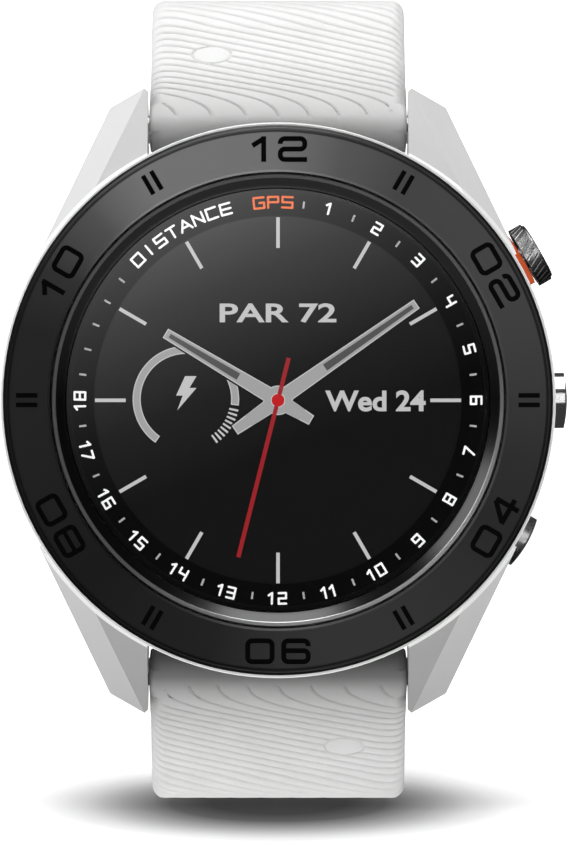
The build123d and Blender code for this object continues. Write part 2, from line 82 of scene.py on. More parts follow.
class Finish:
    """A Principled material with its nodes, built up by the functions below."""

    def __init__(self, name, colour, roughness, metallic=0.0, **sockets):
        self.name = name
        self.material = bpy.data.materials.new(name)
        self.material.use_nodes = True
        self.tree = self.material.node_tree
        self.shader = self.tree.nodes["Principled BSDF"]
        self.set("Base Color", colour)
        self.set("Roughness", roughness)
        self.set("Metallic", metallic)
        for socket, value in sockets.items():
            self.set(socket.replace("_", " "), value)
        self.coords = self.tree.nodes.new("ShaderNodeTexCoord")

    def set(self, socket, value):
        self.shader.inputs[socket].default_value = value

    def noise(self, scale, detail=3.0, stretch=None):
        """A noise value over the object's own coordinates; scale counts per metre."""
        node = self.tree.nodes.new("ShaderNodeTexNoise")
        node.inputs["Scale"].default_value = scale
        node.inputs["Detail"].default_value = detail
        source = self.coords.outputs["Object"]
        if stretch:
            mapping = self.tree.nodes.new("ShaderNodeMapping")
            mapping.inputs["Scale"].default_value = stretch
            self.tree.links.new(source, mapping.inputs["Vector"])
            source = mapping.outputs["Vector"]
        self.tree.links.new(source, node.inputs["Vector"])
        return node.outputs["Fac"]

    def ramp(self, value, stops):
        """A colour ramp; stops are (position, colour)."""
        node = self.tree.nodes.new("ShaderNodeValToRGB")
        elements = node.color_ramp.elements
        while len(elements) < len(stops):
            elements.new(0.5)
        for element, (position, colour) in zip(elements, stops):
            element.position = position
            element.color = colour
        self.tree.links.new(value, node.inputs["Fac"])
        return node.outputs["Color"]

    def span(self, value, low, high, first=0.0, last=1.0):
        """A value between first and last spread to between low and high."""
        node = self.tree.nodes.new("ShaderNodeMapRange")
        node.inputs["From Min"].default_value = first
        node.inputs["From Max"].default_value = last
        node.inputs["To Min"].default_value = low
        node.inputs["To Max"].default_value = high
        self.tree.links.new(value, node.inputs["Value"])
        return node.outputs["Result"]

    def vector(self, operation, first, second=None):
        """A vector maths node; each input is another node's output or a fixed vector."""
        node = self.tree.nodes.new("ShaderNodeVectorMath")
        node.operation = operation
        for socket, value in zip(node.inputs, (first, second)):
            if isinstance(value, bpy.types.NodeSocket):
                self.tree.links.new(value, socket)
            elif value is not None:
                socket.default_value = value
        return node.outputs["Vector" if operation in ("SUBTRACT", "MULTIPLY", "ADD") else "Value"]

    def along(self, direction, origin):
        """Millimetres along a direction of the row frame, measured from an origin."""
        shift = self.vector("SUBTRACT", self.coords.outputs["Object"], origin)
        return self.vector("DOT_PRODUCT", shift, Vector(direction) / MM)

    def distance(self, origin, keep):
        """Millimetres from an origin, counting only the axes kept (1 or 0 for each)."""
        shift = self.vector("SUBTRACT", self.coords.outputs["Object"], origin)
        return self.vector("LENGTH", self.vector("MULTIPLY", shift, Vector(keep) / MM))

    def bearing(self, angle):
        """The cosine of how far a place lies round the dial from an angle (degrees, 0 at 3 o'clock)."""
        ratio = self.tree.nodes.new("ShaderNodeMath")
        ratio.operation = "DIVIDE"
        x, z = turned(angle, 1.0)
        self.tree.links.new(self.along((x, 0, z), DIAL), ratio.inputs[0])
        self.tree.links.new(self.distance(DIAL, ON_DIAL), ratio.inputs[1])
        return ratio.outputs["Value"]

    def facing_side(self):
        """How far the surface faces left or right: 0 for not at all, 1 for fully."""
        return self.vector("LENGTH", self.vector("MULTIPLY", self.coords.outputs["Normal"], (1, 0, 0)))

    def levels(self, value, stops):
        """A grey curve through (value, grey) stops, for values in any unit."""
        first, last = stops[0][0], stops[-1][0]
        greys = [((place - first) / (last - first), (grey, grey, grey, 1)) for place, grey in stops]
        return self.ramp(self.span(value, 0.0, 1.0, first, last), greys)

    def times(self, first, second):
        return self.vector("MULTIPLY", first, second)

    def plus(self, first, second):
        return self.vector("ADD", first, second)

    def link(self, value, socket):
        self.tree.links.new(value, self.shader.inputs[socket])

    def bump(self, value, height, strength):
        node = self.tree.nodes.new("ShaderNodeBump")
        node.inputs["Distance"].default_value = height
        node.inputs["Strength"].default_value = strength
        self.tree.links.new(value, node.inputs["Height"])
        self.tree.links.new(node.outputs["Normal"], self.shader.inputs["Normal"])


def moulded(name, colour, roughness, grain, depth, spread=0.08, **sockets):
    """Moulded plastic or rubber: a fine grain and slightly uneven gloss."""
    finish = Finish(name, colour, roughness, **sockets)
    uneven = finish.noise(grain / 12)
    finish.link(finish.span(uneven, roughness - spread, roughness + spread), "Roughness")
    finish.bump(finish.noise(grain), depth, 0.6)
    return finish


def metal(name, colour, roughness, brushed=None, depth=0.000004):
    """Metal with fine scratches; brushed stretches them along one direction."""
    finish = Finish(name, colour, roughness, metallic=1.0)
    scratches = finish.noise(3000.0, 4.0, brushed)
    finish.link(finish.span(scratches, roughness * 0.75, roughness * 1.3), "Roughness")
    finish.bump(scratches, depth, 0.5)
    return finish


def ink(name, colour, light):
    """Print with a little light of its own, so that it reads clearly under the lens."""
    return moulded(name, colour, 0.5, 6000.0, 0.000002, 0.03, Emission_Color=light, Emission_Strength=0.40)


def glowing(name, red, green, blue):
    """A patch of the display, which gives out the colour that is seen through the lens."""
    return Finish(name, (0.004, 0.004, 0.004, 1), 0.5, Specular_IOR_Level=0.0,
                  Emission_Color=(linear(red), linear(green), linear(blue), 1.0),
                  Emission_Strength=1 / (1 - LENS_COVER))


PLAIN_FINISHES = (
    moulded("bezel_infill", (0.001, 0.001, 0.001, 1), 0.3, 3000.0, 0.000003, 0.04, Specular_IOR_Level=0.05),
    metal("button_steel", (0.70, 0.70, 0.71, 1), 0.16, depth=0.0000008),
    metal("steel", (0.55, 0.55, 0.56, 1), 0.28, (1, 1, 12)),
    moulded("dial_black", (0.0006, 0.0006, 0.0006, 1), 0.5, 4000.0, 0.000004, 0.05, Specular_IOR_Level=0.02),
    moulded("seal_black", (0.002, 0.002, 0.002, 1), 0.6, 4000.0, 0.000005, Specular_IOR_Level=0.1),
    moulded("cover_grey", (0.045, 0.045, 0.048, 1), 0.5, 2600.0, 0.000014),
    moulded("board_green", (0.01, 0.09, 0.04, 1), 0.4, 3000.0, 0.00001),
    moulded("flex_amber", (0.42, 0.17, 0.02, 1), 0.35, 3000.0, 0.000004),
    metal("cell_silver", (0.6, 0.6, 0.62, 1), 0.4),
    metal("gold", (0.85, 0.6, 0.24, 1), 0.2),
    moulded("orange", (0.70, 0.09, 0.006, 1), 0.3, 3000.0, 0.000004, 0.05),
    ink("print_white", (1.0, 1.0, 1.0, 1), (1.0, 1.0, 1.0, 1)),
    ink("print_grey", (0.46, 0.46, 0.46, 1), (0.3, 0.3, 0.3, 1)),
    ink("print_orange", (0.86, 0.15, 0.012, 1), (0.9, 0.17, 0.05, 1)),
    glowing("display_light", 200, 200, 200),
    glowing("display_grey", 166, 166, 166),
    glowing("display_inset", 82, 82, 82),
    glowing("display_black", 6, 6, 6),
    glowing("display_red", 158, 34, 40),
    glowing("display_hub", 196, 22, 24),
    glowing("display_wallpaper", 11, 11, 11),
)


def case_finish():
    """White moulded case with a thin clear coat; painted shade greys it towards 6 o'clock, painted light
    pales its side-facing facets and a painted highlight brightens its rim.
    """
    finish = moulded("white_case", (0.84, 0.84, 0.835, 1), 0.36, 1800.0, 0.000005,
                     Coat_Weight=0.15, Coat_Roughness=0.2)
    # painted shade: the case is darker the lower it lies, as if lit from above
    height = finish.along((0.0, 0.0, 1.0), DIAL)
    painted_shade_by_height = finish.levels(height, ((-27.0, 0.46), (-16.0, 0.50), (-4.0, 0.67), (8.0, 0.74), (27.0, 0.74)))
    # painted light: faces turned to the left or right are paler than those facing front
    sideways = finish.facing_side()
    painted_side_light = finish.levels(sideways, ((0.0, 0.74), (0.1, 0.74), (0.5, 1.0), (1.0, 1.0)))
    # painted highlight: the rim's top is made brighter, less so where it faces sideways
    reach = finish.distance(DIAL, ON_DIAL)
    rim = finish.levels(reach, ((22.0, 0.44), (23.74, 0.44), (23.80, 0.0), (26.0, 0.0)))
    side = finish.levels(sideways, ((0.0, 1.0), (0.1, 1.0), (0.5, 0.55), (1.0, 0.55)))
    finish.link(finish.plus(finish.times(painted_shade_by_height, painted_side_light), finish.times(rim, side)), "Base Color")
    return finish


def silicone():
    """White silicone: soft sheen and a faint mottle, with painted shade greying it where the band dives
    under the case.
    """
    finish = Finish("white_silicone", (0.80, 0.80, 0.795, 1), 0.48, Sheen_Weight=0.1, Sheen_Roughness=0.5)
    greys = ((0.3, (0.785, 0.785, 0.78, 1)), (0.7, (0.82, 0.82, 0.818, 1)))
    mottle = finish.ramp(finish.noise(260.0, 4.0), greys)
    # painted shade: the band is darker the closer it comes to the case
    depth = finish.distance((DIAL_X, FACE_Y, DIAL_Z - 1.3 * MM), (0, 1, 1))
    painted_shade_under_case = ((20.5, 0.08), (23.0, 0.20), (24.3, 0.41), (25.7, 0.58), (27.3, 0.69), (28.9, 0.81),
                  (30.5, 0.90), (32.5, 1.0))
    finish.link(finish.times(mottle, finish.levels(depth, painted_shade_under_case)), "Base Color")
    finish.link(finish.span(finish.noise(900.0), 0.42, 0.56), "Roughness")
    finish.bump(finish.noise(5200.0, 2.0), 0.000006, 0.4)
    return finish


def lens_glass():
    """A thin window: it mirrors a few percent of the room, and a painted reflection glows softly on it
    towards 11 o'clock.
    """
    finish = Finish("lens_glass", (0.3, 0.3, 0.3, 1), 0.01, metallic=1.0, Alpha=LENS_COVER,
                    Emission_Strength=1.0)
    tints = ((0.3, (0.29, 0.29, 0.29, 1)), (0.7, (0.31, 0.31, 0.31, 1)))
    finish.link(finish.ramp(finish.noise(120.0), tints), "Base Color")
    # painted reflection: emission that grows towards 11 o'clock and is dimmer over the hole ring
    upper = finish.along((-0.37, 0.0, 0.93), DIAL)
    glow = ((-4.0, 0.0), (2.3, 0.0045), (6.7, 0.0125), (10.7, 0.023), (13.8, 0.037), (18.0, 0.062))
    sheen = finish.levels(upper, [(place, light / LENS_COVER) for place, light in glow])
    reach = finish.distance(DIAL, ON_DIAL)
    painted_reflection_over_ring = finish.levels(reach, ((0.0, 1.0), (15.5, 1.0), (15.6, 0.68), (18.0, 0.68)))
    finish.link(finish.times(sheen, painted_reflection_over_ring), "Emission Color")
    return finish


def bezel_finish():
    """Black satin metal with a painted sheen, paler just left of 12 o'clock and along its right side, and
    painted light and shade lines at its edges.
    """
    finish = Finish("bezel", (0.02, 0.02, 0.02, 1), 0.38, Specular_IOR_Level=0.3)
    grain = finish.noise(5200.0)
    # painted sheen: how pale the bezel is depends on where it lies round the dial
    from_top = finish.bearing(107)
    left = finish.levels(from_top, (
        (-1, 0.026), (-0.95, 0.020), (-0.85, 0.009), (-0.45, 0.004), (0.1, 0.009),
        (0.55, 0.010), (0.73, 0.021), (0.88, 0.064), (0.97, 0.145), (1, 0.145)))
    right = finish.levels(from_top, (
        (-1, 0.026), (-0.9, 0.021), (-0.73, 0.0135), (-0.5, 0.019), (-0.25, 0.030),
        (0.2, 0.045), (0.68, 0.046), (0.85, 0.077), (0.96, 0.136), (1, 0.145)))
    to_right = finish.bearing(17)
    on_left = finish.levels(to_right, ((-1, 1), (-0.03, 1), (0.03, 0), (1, 0)))
    on_right = finish.levels(to_right, ((-1, 0), (-0.03, 0), (0.03, 1), (1, 1)))
    sheen = finish.plus(finish.times(left, on_left), finish.times(right, on_right))
    # painted highlight on the inner chamfer, painted shade in the groove near the outer edge, a paler bevel
    # and a dark outer edge
    edges = finish.levels(finish.distance(DIAL, ON_DIAL), (
        (18.0, 0.35), (19.22, 0.35), (19.26, 1.5), (19.40, 1.5), (19.46, 1.0), (22.56, 1.0),
        (22.62, 0.2), (22.76, 0.2), (22.82, 0.7), (22.96, 0.7), (23.00, 0.1), (24.0, 0.1)))
    finish.link(finish.times(sheen, edges), "Base Color")
    finish.link(finish.span(grain, 0.34, 0.44), "Roughness")
    finish.bump(grain, 0.000008, 0.5)
    return finish


def ring_finish():
    """Dark polished steel with a bright turned edge; painted reflections pale its wall towards the top and
    its edge towards the lower right.
    """
    finish = Finish("inner_ring", (0.05, 0.05, 0.05, 1), 0.1, metallic=1.0)
    reach = finish.distance(DIAL, ON_DIAL)
    height = finish.along((0.0, 0.0, 1.0), DIAL)
    # painted reflection: the wall is paler towards the top
    wall = finish.levels(height, ((-19.0, 0.05), (0.0, 0.05), (10.0, 0.3), (19.0, 0.4)))
    # painted highlight: the turned edge is brightest towards the lower right
    to_lower_right = finish.along((0.5, 0.0, -0.87), DIAL)
    edge = finish.levels(to_lower_right, ((-19.0, 0.24), (6.0, 0.28), (12.0, 0.5), (17.5, 0.85)))
    outside = finish.levels(reach, (
        (17.0, 0.0), (18.68, 0.0), (18.76, 1.0), (18.98, 1.0), (19.06, 0.35), (20.0, 0.35)))
    inside = finish.levels(reach, ((17.0, 1.0), (18.68, 1.0), (18.76, 0.0), (20.0, 0.0)))
    finish.link(finish.plus(finish.times(wall, inside), finish.times(edge, outside)), "Base Color")
    roughness = finish.levels(reach, ((17.0, 0.22), (18.68, 0.22), (18.76, 0.42), (20.0, 0.42)))
    finish.link(roughness, "Roughness")
    return finish


def shaded_cap(name, roughness, angle, stops):
    """Polished cap steel at a dial angle, with a painted highlight near its middle and painted shade towards
    its ends.
    """
    finish = metal(name, (0.8, 0.8, 0.81, 1), roughness, depth=0.0000006)
    x, z = turned(angle + 90, 1.0)
    # painted highlight and shade: the base colour follows the stops from one end of the cap to the other
    finish.link(finish.levels(finish.along((x, 0.0, z), DIAL), stops), "Base Color")
    return finish


SHADED_FINISHES = (
    case_finish(), bezel_finish(), ring_finish(), silicone(), lens_glass(),
    # the stops below are painted highlight and shade along the start and lower buttons' caps
    shaded_cap("knurled_steel", 0.26, 30, (
        (-2.7, 0.03), (-1.9, 0.09), (-1.2, 0.35), (-0.3, 0.95),
        (0.8, 0.95), (1.6, 0.45), (2.3, 0.12), (2.7, 0.05))),
    shaded_cap("satin_steel", 0.28, -30, (
        (-2.3, 0.03), (-1.2, 0.10), (-0.3, 0.60), (0.4, 1.0), (1.6, 0.85), (2.3, 0.5))),
)
MATERIALS = {finish.name: finish for finish in PLAIN_FINISHES + SHADED_FINISHES}


def paint(obj, name):
    obj.data.materials.clear()
    obj.data.materials.append(MATERIALS[name].material)


FINISHED_NODES = {
    "white_case": ("mid_case",),
    "bezel": ("bezel_ring",),
    "bezel_infill": ("bezel_numerals",),
    "inner_ring": ("inner_ring",),
    "lens_glass": ("lens",),
    "seal_black": ("lens_gasket", "back_cover_seal"),
    "dial_black": ("hole_ring", "display_panel", "backlight", "display_frame", "contact_block",
                   "tactile_switches"),
    "flex_amber": ("display_flex", "button_flex"),
    "gold": ("gps_antenna", "charging_contacts", "button_tubes"),
    "board_green": ("main_board",),
    "cell_silver": ("battery",),
    "cover_grey": ("back_cover",),
    "orange": ("orange_collar",),
    "steel": ("shield_cans", "vibration_motor", "back_cover_screws", "lug_bar_upper", "lug_bar_lower",
              "hook_upper", "hook_lower", "latch_upper", "latch_lower", "latch_spring_upper",
              "latch_spring_lower", "buckle_pin"),
    "button_steel": ("buckle_frame", "buckle_tang", "middle_button"),
    "knurled_steel": ("start_button",),
    "satin_steel": ("lower_button",),
}
for finish_name, nodes in FINISHED_NODES.items():
    for node in nodes:
        paint(NODES[node], finish_name)
for button in ("start_button", "middle_button", "lower_button"):
    paint(NODES[button + "_seal"], "seal_black")
    paint(NODES[button + "_clip"], "steel")


# ---------------- mesh helpers
def add_mesh(name, vertices, faces, finish, body, sharp):
    mesh = bpy.data.meshes.new(name)
    mesh.from_pydata(vertices, [], faces)
    mesh.validate()
    mesh.shade_smooth()
    mesh.set_sharp_from_angle(angle=math.radians(sharp))
    obj = bpy.data.objects.new(name, mesh)
    bpy.context.scene.collection.objects.link(obj)
    paint(obj, finish)
    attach(obj, body)
    return obj


def plate(name, outlines, base, thick, finish):
    """One flat piece from outlines of bench (x, y) points, raised by thick from the height base(x, y)."""
    vertices = []
    faces = []
    for outline in outlines:
        start = len(vertices)
        count = len(outline)
        vertices += [bench(x, y, base(x, y) + thick) for x, y in outline]
        vertices += [bench(x, y, base(x, y)) for x, y in outline]
        faces.append(tuple(range(start, start + count)))
        faces.append(tuple(range(start + 2 * count - 1, start + count - 1, -1)))
        for step in range(count):
            after = (step + 1) % count
            faces.append((start + step, start + count + step, start + count + after, start + after))
    obj = add_mesh(name, vertices, faces, finish, "case", 20)


def circle(radius, count=64):
    return [turned(360 * k / count, radius) for k in range(count)]


def bar(angle, inner, outer, inner_width, outer_width):
    """A bar along a dial angle that may taper, as an outline."""
    along = Vector(turned(angle, 1.0))
    side = Vector((-along.y, along.x))
    return [along * inner - side * inner_width / 2, along * outer - side * outer_width / 2,
            along * outer + side * outer_width / 2, along * inner + side * inner_width / 2]


def arc_band(x, y, radius, width, start, end, count):
    """A band of constant width round a centre, from one angle to another, as quads."""
    outlines = []
    for k in range(count):
        first = start + (end - start) * k / count
        second = start + (end - start) * (k + 1) / count
        corners = [(first, radius - width / 2), (first, radius + width / 2),
                   (second, radius + width / 2), (second, radius - width / 2)]
        outlines.append([(x + turned(a, r)[0], y + turned(a, r)[1]) for a, r in corners])
    return outlines


# ---------------- lettering on the dial
def flat_text(text, bold=0.0):
    """A word in the built-in face at size 1, as a flat mesh."""
    curve = bpy.data.curves.new("word", "FONT")
    curve.body = text
    curve.offset = bold
    curve.resolution_u = 6
    holder = bpy.data.objects.new("word", curve)
    bpy.context.scene.collection.objects.link(holder)
    bpy.context.view_layer.update()
    mesh = bpy.data.meshes.new_from_object(holder.evaluated_get(bpy.context.evaluated_depsgraph_get()))
    points = [(v.co.x, v.co.y) for v in mesh.vertices]
    faces = [tuple(face.vertices) for face in mesh.polygons]
    bpy.data.objects.remove(holder)
    bpy.data.curves.remove(curve)
    bpy.data.meshes.remove(mesh)
    return points, faces


def display_words(name, text, height, bold, widen, x, y):
    """Print on the display, with capitals of a height in millimetres, centred on (x, y)."""
    capital = max(py for _, py in flat_text("H")[0])
    points, faces = flat_text(text, bold)
    scale = height / capital
    middle = (min(px for px, _ in points) + max(px for px, _ in points)) / 2
    vertices = [bench(x + (px - middle) * scale * widen, y + (py - capital / 2) * scale, layer(2))
                for px, py in points]
    mesh = bpy.data.meshes.new(name)
    mesh.from_pydata(vertices, [], faces)
    obj = bpy.data.objects.new(name, mesh)
    bpy.context.scene.collection.objects.link(obj)
    solid = bmesh.new()
    solid.from_mesh(mesh)
    for face in solid.faces:
        face.normal_update()
        if face.normal.y > 0:
            face.normal_flip()
    lifted = bmesh.ops.extrude_face_region(solid, geom=list(solid.faces))
    moved = [item for item in lifted["geom"] if isinstance(item, bmesh.types.BMVert)]
    bmesh.ops.translate(solid, verts=moved, vec=(0, -PRINT_THICK * MM, 0))
    bmesh.ops.recalc_face_normals(solid, faces=solid.faces)
    solid.to_mesh(mesh)
    solid.free()
    paint(obj, "display_light")
    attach(obj, "case")


HOLE_STEP = 15                        # degrees from one hole number to the next
RING_INNER = 15.55
RING_TOP = 9.1                        # the ring's height at its inner edge
RING_SLOPE = 0.3 / 1.85
RING_TEXT_REACH = 16.76
DASH_INNER = 16.35
DASH_OUTER = 16.95
DASH_WIDTH = 0.17
PRINT_THICK = 0.03
LETTER_HALF_HEIGHT = 0.445            # to the middle of the stroke
LETTER_HALF_WIDTH = 0.43
DIGIT_HALF_WIDTH = 0.31
ONE_WIDTH = 0.34
DIGIT_GAP = 0.40
LETTER_STROKE = 0.185

# a squarish stroke face: where a stroke runs, in half widths and half heights of the letter
STROKES = {
    "top": ((-1, 1), (1, 1)),
    "middle": ((-1, 0), (1, 0)),
    "bottom": ((-1, -1), (1, -1)),
    "left_up": ((-1, 0), (-1, 1)),
    "left_down": ((-1, -1), (-1, 0)),
    "right_up": ((1, 0), (1, 1)),
    "right_down": ((1, -1), (1, 0)),
    "stem": ((0, -1), (0, 1)),
    "flag": ((-0.9, 0.55), (0, 1)),
    "fall": ((-1, 1), (1, -1)),
    "lean_left": ((-1.15, -1), (0, 1)),
    "lean_right": ((1.15, -1), (0, 1)),
    "tie": ((-0.7, -0.35), (0.7, -0.35)),
    "lip": ((0.1, 0), (1, 0)),
    "slant": ((-0.5, -1), (1, 1)),
}
ROUND = ("top", "bottom", "left_up", "left_down", "right_up", "right_down")
GLYPHS = {
    "A": ("lean_left", "lean_right", "tie"),
    "C": ("top", "bottom", "left_up", "left_down"),
    "D": ROUND,
    "E": ("top", "middle", "bottom", "left_up", "left_down"),
    "G": ("top", "bottom", "left_up", "left_down", "right_down", "lip"),
    "I": ("stem",),
    "N": ("left_up", "left_down", "right_up", "right_down", "fall"),
    "P": ("top", "middle", "left_up", "left_down", "right_up"),
    "S": ("top", "middle", "bottom", "left_up", "right_down"),
    "T": ("top", "stem"),
    "0": ROUND,
    "1": ("stem", "flag"),
    "2": ("top", "middle", "bottom", "right_up", "left_down"),
    "3": ("top", "middle", "bottom", "right_up", "right_down"),
    "4": ("left_up", "middle", "right_up", "right_down"),
    "5": ("top", "middle", "bottom", "left_up", "right_down"),
    "6": ("top", "middle", "bottom", "left_up", "left_down", "right_down"),
    "7": ("top", "slant"),
    "8": ROUND + ("middle",),
    "9": ("top", "middle", "bottom", "left_up", "right_up", "right_down"),
}


def ring_top(x, y):
    """The hole ring's sloping top face."""
    return RING_TOP + (math.hypot(x, y) - RING_INNER) * RING_SLOPE


def capsule(start, end, width):
    """The outline of a round-ended stroke."""
    along = (end - start).normalized()
    outline = []
    for centre, first in ((end, -90), (start, 90)):
        for step in range(7):
            cosine, sine = turned(first + 30 * step, 1.0)
            side = Vector((along.x * cosine - along.y * sine, along.x * sine + along.y * cosine))
            outline.append(centre + side * width / 2)
    return outline


def glyph(letter, half_width, x, y, turn):
    """A letter's strokes as outlines on the dial, turned about its own middle."""
    cosine, sine = turned(turn, 1.0)
    outlines = []
    for stroke in GLYPHS[letter]:
        start, end = [Vector((u * half_width, v * LETTER_HALF_HEIGHT)) for u, v in STROKES[stroke]]
        shape = capsule(start, end, LETTER_STROKE)
        outlines.append([(x + p.x * cosine - p.y * sine, y + p.x * sine + p.y * cosine) for p in shape])
    return outlines


def ring_word(text, start, end):
    """Letters spread evenly between two dial angles, tops outward."""
    outlines = []
    for step, letter in enumerate(text):
        angle = start + (end - start) * (step + 0.5) / len(text)
        outlines += glyph(letter, LETTER_HALF_WIDTH, *turned(angle, RING_TEXT_REACH), angle - 90)
    return outlines


def ring_number(hole):
    """A hole number at its place; the lower ones have their tops inward."""
    angle = 90 - HOLE_STEP * hole
    inward = 7 <= hole <= 17
    turn = angle + 90 if inward else angle - 90
    text = str(hole)
    widths = [ONE_WIDTH if digit == "1" else 2 * DIGIT_HALF_WIDTH for digit in text]
    reach = -(sum(widths) + DIGIT_GAP * (len(text) - 1)) / 2
    outlines = []
    for digit, width in zip(text, widths):
        offset = reach + width / 2
        bend = math.degrees(offset / RING_TEXT_REACH) * (1 if inward else -1)
        outlines += glyph(digit, DIGIT_HALF_WIDTH, *turned(angle + bend, RING_TEXT_REACH), turn + bend)
        reach += width + DIGIT_GAP
    return outlines


def ring_print():
    """Hole numbers 1 to 18 with dashes between them, and two plain words at the upper left."""
    numbers = []
    for hole in range(1, 19):
        numbers += ring_number(hole)
    numbers += ring_word("DISTANCE", 137.0, 103.2)
    plate("ring_numbers", numbers, ring_top, PRINT_THICK, "print_white")
    word = ring_word("GPS", 97.6, 85.2)
    plate("ring_word_orange", word, ring_top, PRINT_THICK, "print_orange")
    angles = [90 - HOLE_STEP * (hole + 0.5) for hole in range(1, 18)]
    angles += [172.5, 165.0, 157.5, 150.0, 142.5, 82.5]
    dashes = [bar(angle, DASH_INNER, DASH_OUTER, DASH_WIDTH, DASH_WIDTH) for angle in angles]
    plate("ring_dashes", dashes, ring_top, PRINT_THICK, "print_grey")


# ---------------- what the display shows
DISPLAY_TOP = 8.7
LAYER_STEP = 0.02
LAYER_THICK = 0.015
HOUR_HAND = 149.2                    # each hand's dial angle, in degrees anticlockwise from 3 o'clock
MINUTE_HAND = 34.8
SECOND_HAND = 255.8


def layer(step):
    """The height of one display layer, each a hair above the last."""
    return DISPLAY_TOP + LAYER_STEP * step


def display_plate(name, outlines, step, finish):
    plate(name, outlines, lambda x, y: layer(step), LAYER_THICK, finish)


# a pale outline on a black edge, filled with grey: each layer's name, how far it grows and its finish
OUTLINE_LAYERS = (
    ("shadow", 0.14, "display_black"),
    ("edge", 0.0, "display_light"),
    ("fill", -0.09, "display_grey"),
)


def hand(name, angle, tip, tail, inset_start, step):
    """A baton hand with a dark inset, over layers that start at step."""
    hub_width, end_width = 1.34, 0.9
    for part, grow, finish in OUTLINE_LAYERS:
        wide = hub_width + 2 * grow
        slim = end_width + 2 * grow
        outlines = [bar(angle, 0, tip + grow, wide, slim), bar(angle + 180, 0, tail + grow, wide, slim)]
        display_plate(f"{name}_{part}", outlines, step, finish)
        step += 1
    inset = bar(angle, inset_start, tip - 0.42, 0.62, 0.36)
    display_plate(f"{name}_inset", [inset], step, "display_inset")


def lightning():
    """A plain lightning bolt for the charge gauge."""
    x, y = -7.75, 0.6
    points = ((-0.12, 1.45), (0.85, 1.45), (0.25, 0.45), (0.85, 0.45),
              (-0.78, -1.45), (-0.32, -0.2), (-0.88, -0.2))
    return [[(x + px, y + py) for px, py in reversed(points)]]


def display():
    display_plate("display_wallpaper", [circle(15.8, 96)], 0, "display_wallpaper")
    ticks = [bar(30 * hour, 12.9, 15.5, 0.3, 0.3) for hour in range(12)]
    display_plate("hour_ticks", ticks, 2, "display_light")
    gauge_x, gauge_y, gauge_reach = -7.8, 0.1, 4.17
    for index, (part, grow, finish) in enumerate(OUTLINE_LAYERS):
        turn = math.degrees(grow / gauge_reach)
        band = arc_band(gauge_x, gauge_y, gauge_reach, 0.68 + 2 * grow, -7 - turn, 235 + turn, 72)
        display_plate(f"gauge_{part}", band, index + 1, finish)
    hashes = []
    for step in range(9):
        angle = -12.5 - 5.2 * step
        hashes += arc_band(gauge_x, gauge_y, gauge_reach - 0.02, 0.78, angle - 1.15, angle + 1.15, 1)
    display_plate("gauge_hashes", hashes, 3, "display_light")
    display_plate("gauge_bolt", lightning(), 3, "display_light")
    hand("hour_hand", HOUR_HAND, 11.1, 3.3, 3.9, 5)
    hand("minute_hand", MINUTE_HAND, 14.3, 4.45, 4.85, 9)
    display_plate("hub_edge", [circle(1.25)], 13, "display_light")
    display_plate("hub_fill", [circle(1.17)], 14, "display_grey")
    hub_arms = [bar(HOUR_HAND, 0, 2.6, 1.16, 1.1), bar(HOUR_HAND - 180, 0, 2.4, 1.16, 1.02),
                bar(MINUTE_HAND, 0, 2.6, 1.16, 1.1), bar(MINUTE_HAND + 180, 0, 3.0, 1.16, 1.0)]
    display_plate("hub_arms", hub_arms, 15, "display_grey")
    second = [bar(SECOND_HAND, 0, 13.7, 0.36, 0.36), bar(SECOND_HAND - 180, 0, 3.7, 0.36, 0.36)]
    display_plate("second_hand", second, 17, "display_red")
    display_plate("second_ring", [circle(0.62)], 16, "display_light")
    display_plate("second_hub", [circle(0.54)], 18, "display_hub")
    display_words("dial_title", "PAR 72", 1.5, 0.020, 1.5, 0.0, 7.4)
    display_words("dial_date", "Wed 24", 1.62, 0.028, 1.07, 8.25, -0.05)


# ---------------- strap halves
BAR_REACH = 23.2                     # the lug bar's place: from the dial's axis, and above the case back
BAR_HEIGHT = 3.6
SLOPE = 35                           # how far the strap leaves the lug bar tilted down, in degrees
STRAP_THICK = 3.0
FIRST_BEND = (4.0 * math.radians(55), 55)
LONG_RUNS = ((10.1, 0), FIRST_BEND, (32.0, 0), (71.0, 81.4))       # each run's length and its turn
SHORT_RUNS = ((10.1, 0), FIRST_BEND, (27.5, 35), (34.0, 0))
BARREL = 2.05                        # the radius of the strap's end round the lug bar
END_HALF_WIDTH = 11.0                # half widths: between the lugs, past them and at the far ends
HALF_WIDTH = 10.95
TAIL_HALF_WIDTH = 10.0
LOOP_RADIUS = 2.0                    # the rolled end round the buckle's pin
LOOP_START = 1.32                    # how far from the pin the rolled end meets the strap's flat faces
TIP_LENGTH = 1.2                     # the stretch over which the free tip thins
TIP_ROUND = 7.0                      # and over which its outline rounds off
MOUTH_HALF_WIDTH = 7.0               # the lug bar's mouth is wider between these sides
MOUTH_WIDE = 1.7
MOUTH_NARROW = 1.3
POCKET_HALF_WIDTH = 5.2              # the hollow under the hook and the latch
POCKET_END = 7.4
POCKET_FLOOR = -1.1
ACROSS_SLOPE = 0.37                  # ribs per millimetre across the strap
LEFT_BEND = -8.2                     # where the ribs turn level near the left edge, and steep near the right
RIGHT_BEND = 8.9
GROOVE_DEPTH = 0.18
GENTLE_SIDE = 0.13                   # how wide a groove's two sides are
STEEP_SIDE = 0.06
CROWN = 0.14                         # how much a rib bulges between two grooves
DIVE_START = 0.1
DIVE_END = 3.7
DIVE_RATE = 0.17                     # ribs per millimetre along the strap
EVEN_RATE = 1.43
GROOVE_END = 40.0
GROOVE_STEP = 0.06
PAD = (-5.7, 7.0, 1.75, 0.95)        # the smooth oval among the ribs: x, distance, half length, half width


